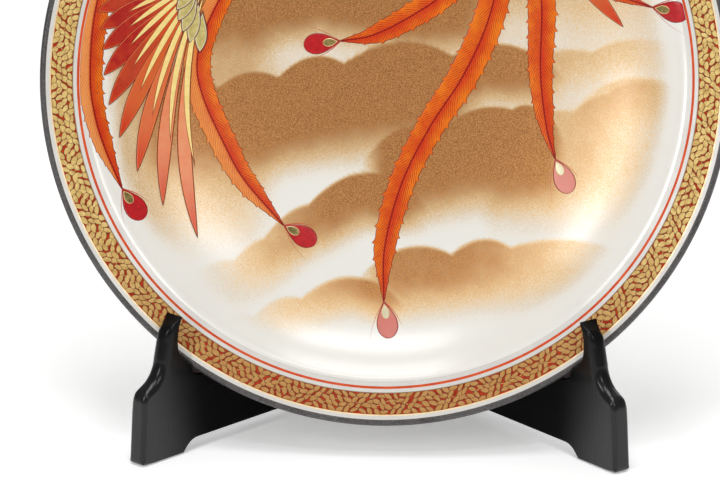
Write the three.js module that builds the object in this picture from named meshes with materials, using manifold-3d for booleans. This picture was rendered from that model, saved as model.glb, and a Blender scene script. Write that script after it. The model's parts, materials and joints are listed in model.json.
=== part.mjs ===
// A porcelain display plate leaning on a folding wooden stand: two lacquered boards, joined
// behind the plate by a pair of brass butt hinges, open forward into a V and carry the rim of
// the plate in a padded notch behind each hook. Millimetres, +Z up, the plate faces -Y.
import * as THREE from "three";
import { mergeVertices } from "three/addons/utils/BufferGeometryUtils.js";
import Module from "manifold-3d";

const wasm = await Module();
wasm.setup();

// Driving dimensions, in millimetres.
const gap = 0.3; // clearance between pieces that touch
const plateRadius = 152.5;
const plateDepth = 48; // from the plane of the rim to the bottom of the foot ring
const wellDepth = 28; // from the plane of the rim to the middle of the painted face
const wallThickness = 8;
const stepRadius = 129.5; // soft moulded step between the well and the flange
const footRingRadius = 76;
const plateLean = THREE.MathUtils.degToRad(17); // back from upright
const rimHeight = 15.5; // lowest point of the rim above the floor
const boardSpread = THREE.MathUtils.degToRad(41); // each board, away from straight ahead
const boardLength = 158; // from the hinge axis to the front edge of a board
const boardThickness = 9;
const hingeBehindRim = 102.7; // hinge axis behind the lowest point of the rim
const edgeRound = 1.5;
const closedGap = 0.25; // inner face of a board to the plane in which the boards close
const footLength = 25.8;
const archHeight = 5.8;
const footHeight = 0.5; // foot of a board above the floor, standing on its pads
const hookTop = 64.3;
const postTop = 148;
const rearEdge = 3.2; // rear edge of a board in front of the hinge axis
const hingeMiddles = { lower: 36, upper: 116 };
const leafHeight = 24;
const leafWidth = 17; // from the hinge axis to the free edge of a leaf
const leafThickness = 1.2;
const knuckleCount = 5;
const knuckleRadius = 2.6;
const boreRadius = 1.5;
const pinRadius = 1.2;
const screwReach = 10; // from the hinge axis to the middle of a screw
const screwRise = 6.5; // above and below the middle of a leaf
const screwHeadRadius = 2.4;
const screwHeadTaper = 1.3;
const screwShankRadius = 1.1;
const screwLength = 7;
const padThickness = 1.1;

const porcelain = { color: 0xe9e6e0, roughness: 0.12, metalness: 0 };
const lacquer = { color: 0x16181a, roughness: 0.32, metalness: 0 };
const brass = { color: 0xb08d4a, roughness: 0.34, metalness: 1 };
const steel = { color: 0x8f9194, roughness: 0.3, metalness: 1 };
const felt = { color: 0x22201f, roughness: 0.95, metalness: 0 };
const rubber = { color: 0x4a1f1a, roughness: 0.55, metalness: 0 };

function piece(name, geometry, look) {
  const mesh = new THREE.Mesh(geometry, new THREE.MeshStandardMaterial(look));
  mesh.name = name;
  return mesh;
}

function solidOf(geometry) {
  const bare = geometry.clone();
  bare.deleteAttribute("normal");
  bare.deleteAttribute("uv");
  const merged = mergeVertices(bare, 1e-4);
  const vertProperties = new Float32Array(merged.attributes.position.array);
  const triVerts = new Uint32Array(merged.index.array);
  return new wasm.Manifold(new wasm.Mesh({ numProp: 3, vertProperties, triVerts }));
}

function geometryOf(solid) {
  const mesh = solid.getMesh();
  const geometry = new THREE.BufferGeometry();
  geometry.setAttribute("position", new THREE.BufferAttribute(mesh.vertProperties, 3));
  geometry.setIndex(new THREE.BufferAttribute(mesh.triVerts, 1));
  geometry.computeVertexNormals();
  return geometry;
}

function boxBetween(low, high) {
  const size = high.map((value, i) => value - low[i]);
  const middle = high.map((value, i) => (value + low[i]) / 2);
  return new THREE.BoxGeometry(...size).translate(...middle);
}

function turned(profile, segments) {
  const points = profile.map(([radius, along]) => new THREE.Vector2(radius, along));
  return new THREE.LatheGeometry(points, segments);
}

// The plate's half section, from the middle of the underside, over the lip, to the middle of
// the face. x is the distance from the plate's axis and y is 0 in the plane of the rim.
function plateSection() {
  const lip = plateRadius;
  const ring = footRingRadius;
  const base = wellDepth + wallThickness;
  const points = [new THREE.Vector2(0, -base)];
  function stretch(divisions, ...controls) {
    const [first, second, third] = controls.map(([x, y]) => new THREE.Vector2(x, y));
    const start = points.at(-1);
    let curve = new THREE.LineCurve(start, first);
    if (second) curve = new THREE.QuadraticBezierCurve(start, first, second);
    if (third) curve = new THREE.CubicBezierCurve(start, first, second, third);
    points.push(...curve.getPoints(divisions).slice(1));
  }
  stretch(1, [ring - 11, -base - 0.5]);
  stretch(3, [ring - 7.2, -base - 0.8], [ring - 6.4, -base - 2.6]);
  stretch(1, [ring - 5.1, -plateDepth + 0.6]);
  stretch(1, [ring - 4.4, -plateDepth]);
  stretch(1, [ring - 1.1, -plateDepth]);
  stretch(1, [ring - 0.4, -plateDepth + 0.6]);
  stretch(1, [ring + 0.4, -base - 1.5]);
  stretch(3, [ring + 0.6, -base], [ring + 2, -base + 0.5]);
  stretch(9, [ring + 26, -29.5], [stepRadius - 13, -19.5], [stepRadius + 4, -11.6]);
  stretch(1, [lip - 2.9, -6]);
  stretch(3, [lip, -5], [lip, -2.7]);
  stretch(2, [lip, -1.3], [lip - 0.9, -0.7]);
  stretch(2, [lip - 1.7, -0.2], [lip - 3.1, -0.7]);
  stretch(1, [stepRadius + 3.5, -5.7]);
  stretch(2, [stepRadius + 1.5, -6.2], [stepRadius, -7.4]);
  stretch(10, [stepRadius - 25.5, -22.5], [62, -wellDepth], [0, -wellDepth]);
  return points;
}

function plateBody() {
  const plate = piece("plate_body", new THREE.LatheGeometry(plateSection(), 84), porcelain);
  plate.rotation.x = Math.PI - plateLean;
  plate.position.y = plateRadius * Math.sin(plateLean);
  plate.position.z = rimHeight + plateRadius * Math.cos(plateLean);
  return plate;
}

// A board's pieces stand in the board's own frame: +X runs forward from the hinge axis, +Y from
// the closing plane out through the board, and +Z up. In that frame the notch is this curve.
function notchCurve() {
  const front = boardLength;
  return new THREE.CubicBezierCurve(
    new THREE.Vector2(front - 31.5, 37.4),
    new THREE.Vector2(front - 34.5, 34.3),
    new THREE.Vector2(front - 38.5, 33.9),
    new THREE.Vector2(front - 42, 37.2),
  );
}

function boardOutline() {
  const front = boardLength;
  const heel = front - footLength;
  const rearHeel = rearEdge + footLength - 4;
  const notch = notchCurve();
  const outline = new THREE.Shape();
  outline.moveTo(front, footHeight);
  outline.lineTo(front - 1.6, 28);
  outline.bezierCurveTo(front - 1.9, 31.5, front - 3, 33, front - 5.3, 34.6); // shoulder
  outline.bezierCurveTo(front - 10.5, 37.6, front - 13.2, 41, front - 13.8, 46);
  outline.lineTo(front - 15.8, 54.5);
  outline.bezierCurveTo(front - 16.8, 58.5, front - 18.3, 60.4, front - 21.3, 61.9);
  outline.lineTo(front - 25.3, hookTop); // tip of the hook
  outline.lineTo(front - 23.6, 59.6);
  outline.bezierCurveTo(front - 22.3, 54.5, front - 22.1, 48, front - 25.2, 43.4);
  outline.quadraticCurveTo(front - 28, 40, notch.v0.x, notch.v0.y);
  outline.bezierCurveTo(notch.v1.x, notch.v1.y, notch.v2.x, notch.v2.y, notch.v3.x, notch.v3.y);
  outline.bezierCurveTo(front - 53, 48, front - 80, 60, front - 109, 67); // cradle
  outline.lineTo(front - 138.9, 141); // edge on which the foot ring leans
  outline.quadraticCurveTo(front - 141, postTop, front - 146.5, postTop);
  outline.quadraticCurveTo(rearEdge, postTop, rearEdge, postTop - 8.4);
  outline.lineTo(rearEdge, footHeight);
  outline.lineTo(rearHeel, footHeight);
  outline.bezierCurveTo(rearHeel + 2, 2.4, rearHeel + 4, archHeight, rearHeel + 9, archHeight);
  outline.lineTo(heel - 9.2, archHeight);
  outline.bezierCurveTo(heel - 4, archHeight, heel - 2, 2.4, heel, footHeight);
  return outline;
}

function boardBlank() {
  const blank = new THREE.ExtrudeGeometry(boardOutline(), {
    depth: boardThickness - 2 * edgeRound,
    curveSegments: 5,
    bevelThickness: edgeRound,
    bevelSize: edgeRound,
    bevelOffset: -edgeRound,
    bevelSegments: 2,
  });
  return blank.rotateX(Math.PI / 2).translate(0, closedGap + boardThickness - edgeRound, 0);
}

// Turned about the screw's axis, from the point to the head; room widens it on every side.
function screwProfile(room) {
  return [
    [0, -screwLength - room],
    [screwShankRadius + room, -screwLength + 1.2 - room],
    [screwShankRadius + room, -screwHeadTaper],
    [screwHeadRadius + room, -room],
    [screwHeadRadius + room, room * 4],
    [0, room * 4],
  ];
}

function placeScrew(geometry, height) {
  const headDepth = closedGap + 0.1;
  return geometry.rotateX(Math.PI).translate(screwReach, headDepth, height);
}

function screwHole(height) {
  return solidOf(placeScrew(turned(screwProfile(gap), 16), height));
}

function screw(name, height) {
  const slotWidth = 0.7;
  const slotReach = 1.6;
  const slotDepth = 0.8;
  let solid = solidOf(turned(screwProfile(0).slice(0, 4).concat([[0, 0]]), 16));
  for (const [x, z] of [[slotReach, slotWidth / 2], [slotWidth / 2, slotReach]]) {
    solid = solid.subtract(solidOf(boxBetween([-x, -slotDepth, -z], [x, 1, z])));
  }
  return piece(name, placeScrew(geometryOf(solid), height), steel);
}

function screwHeights(middle) {
  return { lower: middle - screwRise, upper: middle + screwRise };
}

// One leaf of a hinge with its share of the knuckles, every second one from firstKnuckle on.
function leaf(name, middle, firstKnuckle) {
  const bottom = middle - leafHeight / 2;
  const pitch = leafHeight / knuckleCount;
  const innerSide = closedGap;
  const outerSide = closedGap + leafThickness;
  const ringStart = (boreRadius + knuckleRadius) / 2;
  const plateStart = knuckleRadius + gap;
  let solid = solidOf(
    boxBetween([plateStart, innerSide, bottom], [leafWidth, outerSide, bottom + leafHeight]),
  );
  for (let i = firstKnuckle; i < knuckleCount; i += 2) {
    const low = bottom + i * pitch + gap / 2;
    const high = low + pitch - gap;
    const ring = [
      [boreRadius, low],
      [knuckleRadius, low],
      [knuckleRadius, high],
      [boreRadius, high],
      [boreRadius, low],
    ];
    const web = boxBetween([ringStart, innerSide, low], [plateStart + 1, outerSide, high]);
    solid = solid.add(solidOf(turned(ring, 24).rotateX(Math.PI / 2))).add(solidOf(web));
  }
  for (const height of Object.values(screwHeights(middle))) {
    solid = solid.subtract(screwHole(height));
  }
  return piece(name, geometryOf(solid), brass);
}

function hingePin(name, middle) {
  const half = leafHeight / 2 + 0.6;
  const profile = [
    [0, -half],
    [pinRadius - 0.4, -half],
    [pinRadius, -half + 0.4],
    [pinRadius, half - 0.4],
    [pinRadius - 0.4, half],
    [0, half],
  ];
  const pin = piece(name, turned(profile, 24).rotateX(Math.PI / 2), steel);
  pin.position.z = middle;
  return pin;
}

// A pad with round ends, set into the underside of a foot; room widens it on every side.
function footPadGeometry(start, room) {
  const radius = 2.6 + room;
  const length = 12;
  const middle = closedGap + boardThickness / 2;
  const shape = new THREE.Shape();
  shape.absarc(start + length, middle, radius, -Math.PI / 2, Math.PI / 2);
  shape.absarc(start, middle, radius, Math.PI / 2, (3 * Math.PI) / 2);
  const depth = padThickness + room;
  return new THREE.ExtrudeGeometry(shape, { depth, bevelEnabled: false, curveSegments: 8 });
}
const footPadStarts = { front: boardLength - 19, rear: rearEdge + 4.8 };

// A strip of soft rubber that follows the notch, on which the lip of the plate rests.
function notchPad(name) {
  const curve = notchCurve();
  const steps = 8;
  const under = [];
  const over = [];
  for (let i = 0; i <= steps; i += 1) {
    const at = 0.06 + (0.88 * i) / steps;
    const point = curve.getPoint(at);
    const tangent = curve.getTangent(at);
    const normal = new THREE.Vector2(tangent.y, -tangent.x); // up, out of the board
    under.push(point.clone().addScaledVector(normal, gap));
    over.unshift(point.clone().addScaledVector(normal, gap + padThickness));
  }
  const shape = new THREE.Shape(under.concat(over));
  const inset = 0.6;
  const depth = boardThickness - 2 * inset;
  const strip = new THREE.ExtrudeGeometry(shape, { depth, bevelEnabled: false });
  strip.rotateX(Math.PI / 2).translate(0, closedGap + boardThickness - inset, 0);
  return piece(name, strip, rubber);
}

function board(name) {
  let solid = solidOf(boardBlank());
  const mortiseDepth = closedGap + leafThickness + gap;
  for (const middle of Object.values(hingeMiddles)) {
    const reach = leafHeight / 2 + gap;
    const low = [rearEdge - 1, closedGap - 1, middle - reach];
    const high = [leafWidth + gap, mortiseDepth, middle + reach];
    solid = solid.subtract(solidOf(boxBetween(low, high)));
    for (const height of Object.values(screwHeights(middle))) {
      solid = solid.subtract(screwHole(height));
    }
  }
  for (const start of Object.values(footPadStarts)) {
    solid = solid.subtract(solidOf(footPadGeometry(start, gap)));
  }
  return piece(name, geometryOf(solid), lacquer);
}

// Everything that folds with one board, built for the right and mirrored for the left.
function boardHalf(side, firstKnuckle) {
  const half = new THREE.Group();
  half.add(board(`${side}_board`), notchPad(`${side}_notch_pad`));
  for (const [place, start] of Object.entries(footPadStarts)) {
    half.add(piece(`${side}_${place}_foot_pad`, footPadGeometry(start, 0), felt));
  }
  for (const [place, middle] of Object.entries(hingeMiddles)) {
    half.add(leaf(`${side}_${place}_leaf`, middle, firstKnuckle));
    for (const [end, height] of Object.entries(screwHeights(middle))) {
      half.add(screw(`${side}_${place}_leaf_${end}_screw`, height));
    }
  }
  half.rotation.z = boardSpread - Math.PI / 2;
  return half;
}

function stand() {
  const group = new THREE.Group();
  const left = new THREE.Group();
  left.scale.x = -1;
  left.add(boardHalf("left", 0));
  group.add(boardHalf("right", 1), left);
  for (const [place, middle] of Object.entries(hingeMiddles)) {
    group.add(hingePin(`${place}_hinge_pin`, middle));
  }
  group.position.y = hingeBehindRim;
  return group;
}

// The origin is on the floor, under the middle of the whole object's box.
const display = new THREE.Group();
display.add(plateBody(), stand());
const extent = new THREE.Box3().setFromObject(display, true);
display.position.y = -extent.getCenter(new THREE.Vector3()).y;

export default display;
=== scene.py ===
import json
import random
from math import atan2, comb, cos, log, pi, radians, sin

import bpy
import numpy as np
from mathutils import Matrix, Vector


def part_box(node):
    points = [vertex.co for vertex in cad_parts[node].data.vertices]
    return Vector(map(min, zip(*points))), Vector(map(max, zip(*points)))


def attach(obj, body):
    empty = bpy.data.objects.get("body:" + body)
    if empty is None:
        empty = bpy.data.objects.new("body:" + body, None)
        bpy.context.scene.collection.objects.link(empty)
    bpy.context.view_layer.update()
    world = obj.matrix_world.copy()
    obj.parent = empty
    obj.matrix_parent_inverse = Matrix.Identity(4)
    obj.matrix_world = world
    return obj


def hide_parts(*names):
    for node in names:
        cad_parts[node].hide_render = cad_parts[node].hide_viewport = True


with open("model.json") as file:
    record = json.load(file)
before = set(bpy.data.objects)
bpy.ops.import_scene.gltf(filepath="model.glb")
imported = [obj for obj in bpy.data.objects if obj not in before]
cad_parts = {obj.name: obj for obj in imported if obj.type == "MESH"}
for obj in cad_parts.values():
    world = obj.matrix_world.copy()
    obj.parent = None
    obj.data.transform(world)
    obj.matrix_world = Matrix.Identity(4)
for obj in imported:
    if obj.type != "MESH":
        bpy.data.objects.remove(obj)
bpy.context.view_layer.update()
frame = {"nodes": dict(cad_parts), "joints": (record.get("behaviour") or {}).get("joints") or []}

# A painted porcelain display plate on a folding lacquered stand. Shapes are worked out in
# millimetres: the plate in its own frame (x right, y up the face, z out of the face, 0 in the
# plane of the rim) and each board in its own (x forward from the hinge, y outward, z up).
MM = 0.001

plate_low, plate_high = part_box("plate_body")
PLATE_RADIUS = (plate_high.x - plate_low.x) / 2 / MM
PLATE_LEAN = radians(17)
PLATE_UP = Vector((0, sin(PLATE_LEAN), cos(PLATE_LEAN)))
PLATE_OUT = Vector((0, -cos(PLATE_LEAN), sin(PLATE_LEAN)))
PLATE_SEGMENTS = 600
WELL_DEPTH = 28  # from the plane of the rim to the middle of the painted face
WALL = 8
STEP_RADIUS = 129.5  # soft step between the well and the flange
FOOT_RING_RADIUS = 76
FOOT_RING_DEPTH = 48  # from the plane of the rim to the bottom of the foot ring
FLANGE_EDGE = PLATE_RADIUS - 2.75  # where the flange turns into the lip
RED_LINE = (135.2, 136.3)  # inner and outer radius of this and the next two bands
BORDER = (138.2, 147.5)
PALE_GOLD_LINE = (147.5, 148.1)

hinge_low, hinge_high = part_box("lower_hinge_pin")
HINGE_Y = (hinge_low.y + hinge_high.y) / 2
fold_ranges = [joint["range_deg"] for joint in frame["joints"] if "range_deg" in joint]
BOARD_SPREAD = radians(max(map(max, fold_ranges)))  # from straight ahead, at rest
BOARD_LENGTH = 158
BOARD_THICKNESS = 9
CLOSED_GAP = 0.25  # inner face of a board to the plane in which the boards close
REAR_EDGE = 3.2  # rear edge of a board in front of the hinge axis
FOOT_LENGTH = 25.8
ARCH_HEIGHT = 5.8
FOOT_HEIGHT = 0.5  # foot of a board above the floor, standing on its pads
HOOK_TOP = 64.3
POST_TOP = 148
HINGE_MIDDLES = (36, 116)


# ---- node materials


def linear(screen):
    """A colour as seen on a screen, each channel 0 to 255, as linear light."""
    shares = (channel / 255 for channel in screen)
    return tuple(s / 12.92 if s <= 0.04045 else ((s + 0.055) / 1.055) ** 2.4 for s in shares)


class Graph:
    """A node material, with a short call for each kind of node that the finishes use."""

    def __init__(self, name, roughness=0.4, metallic=0.0):
        self.material = bpy.data.materials.new(name)
        self.material.use_nodes = True
        self.nodes = self.material.node_tree.nodes
        self.links = self.material.node_tree.links
        self.shader = self.nodes["Principled BSDF"]
        self.set(Roughness=roughness, Metallic=metallic)

    def join(self, source, socket):
        """Feeds the socket from a node's output, a number or a colour as seen on a screen."""
        if isinstance(source, bpy.types.NodeSocket):
            self.links.new(source, socket)
        elif isinstance(source, tuple):
            socket.default_value = (*linear(source), 1)
        else:
            socket.default_value = source

    def set(self, **inputs):
        for name, source in inputs.items():
            self.join(source, self.shader.inputs[name.replace("_", " ")])

    def node(self, kind, inputs, **settings):
        """The outputs of a new node with these inputs and settings."""
        made = self.nodes.new(f"ShaderNode{kind}")
        for name, value in settings.items():
            setattr(made, name, value)
        for name, source in inputs.items():
            self.join(source, made.inputs[name])
        return made.outputs

    def dot(self, kind, direction):
        vector = self.node("TexCoord", {})[kind]
        inputs = {0: vector, 1: Vector(direction)}
        return self.node("VectorMath", inputs, operation="DOT_PRODUCT")["Value"]

    def across(self, direction):
        """How far a point lies along the direction, in metres, from the origin of the frame."""
        return self.dot("Object", direction)

    def facing(self, direction):
        """1 where the surface faces the direction, 0 across it, -1 where it faces away."""
        return self.dot("Normal", direction)

    def noise(self, size, detail=3, stretch=(1, 1, 1), roughness=0.55):
        """Smooth noise from 0 to 1 whose blobs are about size millimetres across."""
        point = self.node("TexCoord", {})["Object"]
        point = self.node("Mapping", {"Vector": point, "Scale": Vector(stretch)})["Vector"]
        inputs = {"Vector": point, "Scale": 1 / (size * MM), "Detail": detail, "Roughness": roughness}
        return self.node("TexNoise", inputs)["Fac"]

    def patches(self, size, **options):
        """Soft patches from 0 to 1, about size millimetres across."""
        return self.between(self.noise(size, **options), 0.3, 0.7)

    def value(self, attribute):
        """A value that the mesh holds at its points, by name."""
        return self.node("Attribute", {}, attribute_name=attribute)["Fac"]

    def math(self, operation, first, second=0.0, third=0.0):
        return self.node("Math", {0: first, 1: second, 2: third}, operation=operation)[0]

    def times(self, first, second, plus=0.0):
        return self.math("MULTIPLY_ADD", first, second, plus)

    def between(self, source, low, high, start=0.0, end=1.0):
        """Start below low, end above high, and a smooth step from one to the other between."""
        inputs = dict(enumerate((source, low, high, start, end)))
        return self.node("MapRange", inputs, interpolation_type="SMOOTHSTEP")[0]

    def mix(self, share, first, second):
        """The first colour where the share is 0, the second where it is 1."""
        return self.node("Mix", {0: share, 6: first, 7: second}, data_type="RGBA")[2]

    def bump(self, height, depth):
        """Relief of height (0 to 1) times depth millimetres."""
        self.set(Normal=self.node("Bump", {"Height": height, "Distance": depth * MM})["Normal"])


GLAZE_WHITE = (233, 231, 224)
DULL_ENAMEL = {"Specular_IOR_Level": 0.2, "Coat_Weight": 0.04, "Coat_Roughness": 0.12}


def mottled(name, light, dark, size=3.0, roughness=0.35, metallic=0.0, relief=0.0, gloss=0.5):
    """A plain finish whose colour and roughness drift between two close values."""
    graph = Graph(name, metallic=metallic)
    drift = graph.patches(size)
    graph.set(Base_Color=graph.mix(drift, light, dark))
    graph.set(Roughness=graph.times(drift, 0.3 * roughness, 0.85 * roughness))
    if relief:
        graph.bump(graph.noise(size * 0.4), relief)
    graph.set(Specular_IOR_Level=gloss)
    return graph.material


def glaze_finish():
    """White glaze with gold dust sprayed on it, as thick as the mesh's "gold" value says."""
    graph = Graph("painted_glaze")
    grain = graph.noise(0.5, detail=3, roughness=0.75)
    gold = graph.value("gold")
    uneven = graph.times(graph.noise(9), 0.4, 0.8)
    speck = graph.times(grain, 1.0, -0.5)
    speck = graph.times(speck, graph.between(gold, 0, 0.3))
    dusted = graph.times(gold, uneven, speck)
    veil = graph.mix(graph.between(dusted, 0.0, 0.45), GLAZE_WHITE, (222, 190, 142))
    bronze = graph.mix(graph.between(grain, 0.35, 0.62), (144, 91, 47), (203, 145, 86))
    graph.set(Base_Color=graph.mix(graph.between(dusted, 0.3, 0.85), veil, bronze))
    graph.set(Roughness=graph.between(dusted, 0.05, 0.5, 0.18, 0.42))
    graph.set(Metallic=graph.between(dusted, 0.1, 0.7, 0.0, 0.75))
    graph.set(Coat_Weight=0.25, Coat_Roughness=0.14)
    graph.bump(grain, 0.015)
    return graph.material


def white_glaze_finish():
    """Plain white glaze of the back, a little uneven."""
    graph = Graph("white_glaze", roughness=0.14)
    drift = graph.patches(14)
    graph.set(Base_Color=graph.mix(drift, GLAZE_WHITE, (229, 227, 221)))
    graph.set(Coat_Weight=0.3, Coat_Roughness=0.05)
    graph.bump(graph.noise(5), 0.02)
    return graph.material


def lip_finish():
    """Dark metallic lustre fired on the lip, worn lighter in fine streaks along it."""
    graph = Graph("dark_lustre_lip", metallic=0.55)
    fine = graph.between(graph.noise(0.8, detail=4), 0.35, 0.7)
    broad = graph.between(graph.noise(12), 0.35, 0.7)
    tone = graph.mix(broad, (82, 79, 79), (64, 61, 61))
    graph.set(Base_Color=graph.mix(graph.times(fine, 0.5), tone, (116, 112, 112)))
    graph.set(Roughness=graph.between(fine, 0, 1, 0.5, 0.36))
    graph.bump(fine, 0.03)
    return graph.material


def enamel_line(graph, tone, edge_tone, width):
    """Tone with a darker painted outline of the given width along the mesh's "edge" value."""
    border = graph.between(graph.value("edge"), width * 0.55, width, 1, 0)
    return graph.mix(border, tone, edge_tone)


def plume_finish():
    """Orange plume with a dark rib and fine red barbs slanting to the tip. One side turns pale
    where "tone" is 1."""
    barb_pitch = 1.75
    slant = 1.6
    graph = Graph("plume_enamel", roughness=0.3)
    side = graph.value("side")
    away = graph.math("ABSOLUTE", side)
    phase = graph.times(away, -slant, graph.value("along"))
    wander = graph.times(graph.noise(4), 2.4, phase)
    barb = graph.math("PINGPONG", wander, barb_pitch / 2)
    pale = graph.times(graph.value("tone"), graph.between(side, -1.2, 0.2, 1, 0))
    patch = graph.patches(9, detail=1)
    warm = graph.mix(patch, (232, 122, 24), (218, 92, 20))
    paled = graph.mix(graph.times(pale, 0.8), warm, (226, 150, 84))
    near_rib = graph.between(away, 0.4, 4.6, 0.8, 0)
    one_side = graph.between(side, -1.2, 1.2, 0.5, 1)
    ember = graph.times(near_rib, one_side)
    red = graph.mix(graph.times(pale, -0.3, ember), paled, (206, 44, 22))
    strong = graph.between(graph.noise(2.5), 0.3, 0.65, 0.35, 1)
    strong = graph.times(strong, graph.between(away, 3.5, 6.5, 0.95, 0.3))
    fine = graph.times(graph.between(barb, 0.08, 0.5, 1, 0), strong)
    fine = graph.times(fine, graph.times(pale, -0.6, 1))
    lined = graph.mix(fine, red, (160, 30, 12))
    rib = graph.between(away, 0.2, 0.5, 1, 0)
    ribbed = graph.mix(rib, lined, (140, 20, 16))
    graph.set(Base_Color=enamel_line(graph, ribbed, (124, 26, 12), 0.42))
    graph.set(**DULL_ENAMEL)
    graph.bump(barb, 0.03)
    return graph.material


def feather_finish():
    """Wing feather: orange root, crimson blade, faint veins. A "tone" of 1 fades it towards
    salmon and a tone of 2 to a pale one."""
    graph = Graph("feather_enamel", roughness=0.3)
    share = graph.value("share")
    tone = graph.value("tone")
    blade = graph.mix(graph.between(share, 0.3, 0.62), (204, 74, 22), (158, 12, 22))
    tipped = graph.mix(graph.between(share, 0.84, 1.0), blade, (192, 46, 22))
    salmon = graph.mix(graph.between(share, 0.25, 0.6), (202, 78, 24), (204, 96, 44))
    salmon = graph.mix(graph.between(share, 0.75, 0.98), salmon, (196, 44, 22))
    pale = graph.mix(graph.between(share, 0.7, 1.0), (224, 144, 102), (206, 84, 62))
    pale_tone_and_glare = graph.mix(graph.between(tone, 0, 1), tipped, salmon)
    pale_tone_and_glare = graph.mix(graph.between(tone, 1, 2), pale_tone_and_glare, pale)
    vein = graph.math("PINGPONG", graph.times(graph.value("side"), 2.2), 1)
    veined = graph.mix(graph.between(vein, 0.0, 0.3, 0.3, 0), pale_tone_and_glare, (232, 122, 56))
    drift = graph.between(graph.noise(4), 0.35, 0.7, 0, 0.25)
    uneven = graph.mix(drift, veined, (222, 84, 40))
    rim = graph.between(graph.value("edge"), 0.4, 0.75, 0.6, 0)
    rimmed = graph.mix(rim, uneven, (234, 130, 70))
    graph.set(Base_Color=enamel_line(graph, rimmed, (110, 20, 14), 0.42))
    graph.set(**DULL_ENAMEL)
    graph.bump(vein, 0.02)
    return graph.material


def outlined(name, light, dark, line, width, metallic=0.0, pale_tone_and_glare=None, inner=None):
    """Enamel with a painted outline and, inside it, a finer inner line. Where "tone" is 1 it turns to
    a second colour, which on the eyes is a painted highlight."""
    graph = Graph(name, roughness=0.3, metallic=metallic)
    tone = graph.mix(graph.patches(2), light, dark)
    if pale_tone_and_glare:
        tone = graph.mix(graph.times(graph.value("tone"), 0.85), tone, pale_tone_and_glare)
    if inner:
        band = graph.between(graph.value("edge"), width * 1.25, width * 1.5, 0.7, 0)
        tone = graph.mix(band, tone, inner)
    graph.set(Base_Color=enamel_line(graph, tone, line, width))
    graph.set(Specular_IOR_Level=0.4, Coat_Weight=0.1, Coat_Roughness=0.12)
    graph.bump(graph.noise(1), 0.02)
    return graph.material


def border_gold_finish():
    """Matt gold leaves with a dark outline, with painted shade that makes them browner towards the
    bottom of the plate.
    """
    graph = Graph("border_gold", metallic=0.15)
    drift = graph.patches(2.2)
    tone = graph.mix(drift, (224, 196, 120), (196, 158, 86))
    # Painted shade: the gold turns browner towards the bottom of the plate.
    painted_shade_term = graph.between(graph.across((0, 0, 1)), 25 * MM, 120 * MM, 0.85, 0)
    tone = graph.mix(painted_shade_term, tone, (172, 116, 46))
    graph.set(Base_Color=enamel_line(graph, tone, (104, 34, 12), 0.37))
    graph.set(Roughness=graph.between(drift, 0, 1, 0.42, 0.55))
    graph.bump(graph.noise(0.9), 0.03)
    return graph.material


def lacquer_finish():
    """Black lacquer over wood whose fine upright grain still shows, with painted shade: the inner
    faces turn darker and lose their sheen towards the hinge, while the front and the outer faces keep
    a satin sheen."""
    graph = Graph("black_lacquer")
    grain = graph.noise(0.8, detail=5, stretch=(1, 1, 0.05), roughness=0.65)
    streak = graph.between(grain, 0.4, 0.68)
    broad = graph.patches(20, stretch=(1, 1, 0.3))
    # Painted shade: the inner faces of the boards, shaded by the plate, turn darker and duller
    # towards the hinge; the front and the outer faces stay satin.
    depth = graph.across((0, 1, 0.1))
    front = graph.between(depth, -60 * MM, -32 * MM, 0.2, 0.02)
    outer = graph.between(graph.facing((0, 1, 0)), -0.2, 0.3, 0, 0.22)
    unshaded_sheen = graph.math("MAXIMUM", front, outer)
    # Painted shade in the colour: grained lacquer outside the shade, near black inside it.
    painted_shade_term = graph.mix(streak, (16, 16, 17), (8, 8, 9))
    graph.set(Base_Color=graph.mix(graph.between(unshaded_sheen, 0.02, 0.3), (4, 4, 5), painted_shade_term))
    rough = graph.between(streak, 0, 1, 0.27, 0.36)
    graph.set(Roughness=graph.times(broad, 0.05, rough), Specular_IOR_Level=unshaded_sheen)
    # The clear coat follows the painted shade as well: it shines at the front only.
    graph.set(Coat_Weight=graph.times(front, 2.6), Coat_Roughness=0.17)
    graph.bump(grain, 0.07)
    return graph.material


def brass_finish():
    """Brushed brass with soft patches of tarnish."""
    graph = Graph("hinge_brass_finish", metallic=1.0)
    tarnish = graph.between(graph.noise(4), 0.35, 0.7)
    brushed = graph.noise(0.35, stretch=(0.08, 0.08, 1))
    graph.set(Base_Color=graph.mix(tarnish, (214, 172, 92), (176, 132, 62)))
    graph.set(Roughness=graph.times(brushed, 0.25, 0.18))
    graph.bump(brushed, 0.02)
    return graph.material


def floor_finish():
    """Near white, with a weak glow of its own that keeps the shadows pale."""
    graph = Graph("pale_floor", roughness=0.9)
    pale = graph.mix(graph.patches(300), (250, 250, 250), (248, 248, 248))
    graph.set(Base_Color=pale, Emission_Color=pale, Emission_Strength=0.35)
    return graph.material


# ---- the plate


def bezier(controls, count):
    """Points along a Bezier curve through its first and last control, the first left out."""
    at = np.linspace(0, 1, count + 1)[1:, None]
    degree = len(controls) - 1
    shares = [comb(degree, k) * at**k * (1 - at) ** (degree - k) for k in range(degree + 1)]
    return sum(share * np.array(control, float) for share, control in zip(shares, controls))


def on_flange(radius):
    """The point of the section at this radius of the flange, which rises to the lip."""
    slope = 5 / 16.4
    top = -0.7
    return (radius, top - (FLANGE_EDGE - radius) * slope)


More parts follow.
